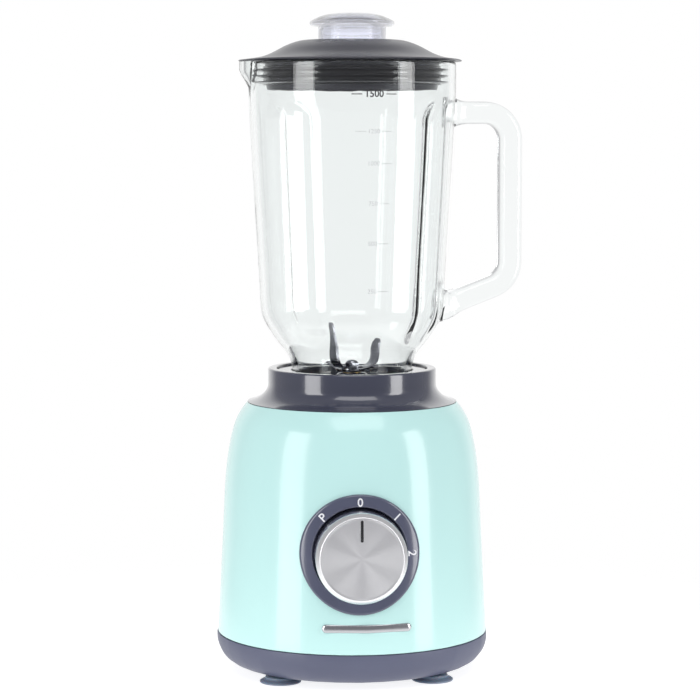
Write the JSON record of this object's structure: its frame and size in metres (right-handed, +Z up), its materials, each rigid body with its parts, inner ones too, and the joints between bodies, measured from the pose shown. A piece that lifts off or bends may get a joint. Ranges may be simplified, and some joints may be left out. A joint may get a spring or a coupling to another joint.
{
  "type": "countertop blender",
  "caption": "Countertop blender: round motor base with a front control knob, pressed glass jug with a loop handle, lid and clear measuring cap.",
  "frame": {"origin": "on the drive axis, in the plane of the worktop that the suction feet stand on", "axes": "+Z up along the drive axis, -Y towards the control knob, +X towards the jug's handle (which stands turned a few degrees in its socket), -X towards the spout"},
  "size_m": [0.1921, 0.187, 0.4088],
  "materials": {
    "housing_paint": "smooth glossy pale mint lacquered moulding",
    "collar_plastic": "polished charcoal moulding",
    "cover_plastic": "satin charcoal moulding",
    "foot_rubber": "soft slate-blue rubber",
    "zinc_steel": "zinc plated steel",
    "bright_trim": "polished bright metal",
    "spun_metal": "circular spun metal",
    "black_plastic": "black moulding",
    "black_rubber": "black rubber",
    "laminated_steel": "varnished electrical steel",
    "copper_wire": "enamelled copper wire, stated as brass",
    "bearing_steel": "ground steel",
    "carbon": "pressed carbon",
    "brass_plate": "brass",
    "board_green": "coated circuit board",
    "part_ivory": "moulded component case",
    "nylon": "natural nylon",
    "coupling_plastic": "tough black nylon",
    "blade_steel": "polished stainless steel",
    "jug_clear": "thick pressed glass with a faint green edge",
    "lid_plastic": "charcoal moulding, satin above and glossy below",
    "lid_rubber": "soft dark seal",
    "cap_clear": "clear hard plastic with a faint blue edge",
    "gasket_silicone": "translucent silicone"
  },
  "bodies": {
    "base": {"body_shell": "housing_paint", "top_collar": "collar_plastic", "base_cover": "cover_plastic", "suction_feet": "foot_rubber", "cover_screws": "zinc_steel", "collar_screws": "zinc_steel", "cord_gland": "black_rubber", "knob_bezel": "collar_plastic", "trim_bar": "bright_trim", "upper_motor_bracket": "zinc_steel", "lower_motor_bracket": "zinc_steel", "upper_bearing": "bearing_steel", "lower_bearing": "bearing_steel", "motor_dampers": "black_rubber", "damper_screws": "zinc_steel", "motor_screws": "zinc_steel", "motor_spacers": "zinc_steel", "stator_core": "laminated_steel", "field_coils": "copper_wire", "brush_holders": "black_plastic", "carbon_brushes": "carbon", "brush_springs": "zinc_steel", "shaft_seal": "black_rubber", "rotary_switch": "black_plastic", "switch_bracket": "zinc_steel", "bracket_screws": "zinc_steel", "switch_nut": "brass_plate", "interlock_switch": "black_plastic", "interlock_cradle": "nylon", "cradle_screws": "zinc_steel", "interlock_spring": "zinc_steel", "control_board": "board_green", "board_parts": "black_plastic", "suppressor_capacitor": "part_ivory", "terminal_block": "nylon"},
    "rotor": {"motor_shaft": "bearing_steel", "armature_core": "laminated_steel", "armature_windings": "copper_wire", "commutator": "brass_plate", "cooling_fan": "black_plastic", "drive_coupling": "coupling_plastic"},
    "interlock": {"interlock_pin": "nylon"},
    "knob": {"knob_body": "black_plastic", "knob_face": "spun_metal", "knob_pointer": "black_plastic", "switch_shaft": "nylon"},
    "jug": {"jug_glass": "jug_clear", "jug_base_ring": "collar_plastic", "blade_carrier": "black_plastic", "carrier_gasket": "gasket_silicone", "blade_bush": "brass_plate"},
    "blades": {"blade_shaft": "blade_steel", "jug_coupling": "coupling_plastic", "blade_washer": "blade_steel", "lower_blade": "blade_steel", "upper_blade": "blade_steel", "blade_nut": "blade_steel"},
    "lid": {"lid": "lid_plastic", "lid_seal": "lid_rubber"},
    "cap": {"measuring_cap": "cap_clear"}
  },
  "joints": [
    {"name": "rotor_spin", "type": "hinge", "parent": "base", "child": "rotor", "pos_m": [0, 0, 0.09], "axis": [0, 0, 1], "continuous": true},
    {"name": "knob_turn", "type": "hinge", "parent": "base", "child": "knob", "pos_m": [0, -0.09, 0.084], "axis": [0, 1, 0], "range_deg": [-45, 90]},
    {"name": "jug_lift", "type": "slide", "parent": "base", "child": "jug", "axis": [0, 0, 1], "range_m": [0, 0.06]},
    {"name": "blade_spin", "type": "hinge", "parent": "jug", "child": "blades", "pos_m": [0, 0, 0.183], "axis": [0, 0, 1], "continuous": true},
    {"name": "lid_lift", "type": "slide", "parent": "jug", "child": "lid", "axis": [0, 0, 1], "range_m": [0, 0.05]},
    {"name": "cap_lift", "type": "slide", "parent": "lid", "child": "cap", "axis": [0, 0, 1], "range_m": [0, 0.05]},
    {"name": "interlock_rise", "type": "slide", "parent": "base", "child": "interlock", "axis": [0, 0, 1], "range_m": [0, 0.003]}
  ],
  "couplings": [
    {"joint": "blade_spin", "follows": "rotor_spin", "ratio": 1},
    {"joint": "interlock_rise", "follows": "jug_lift", "ratio": 0.05}
  ]
}
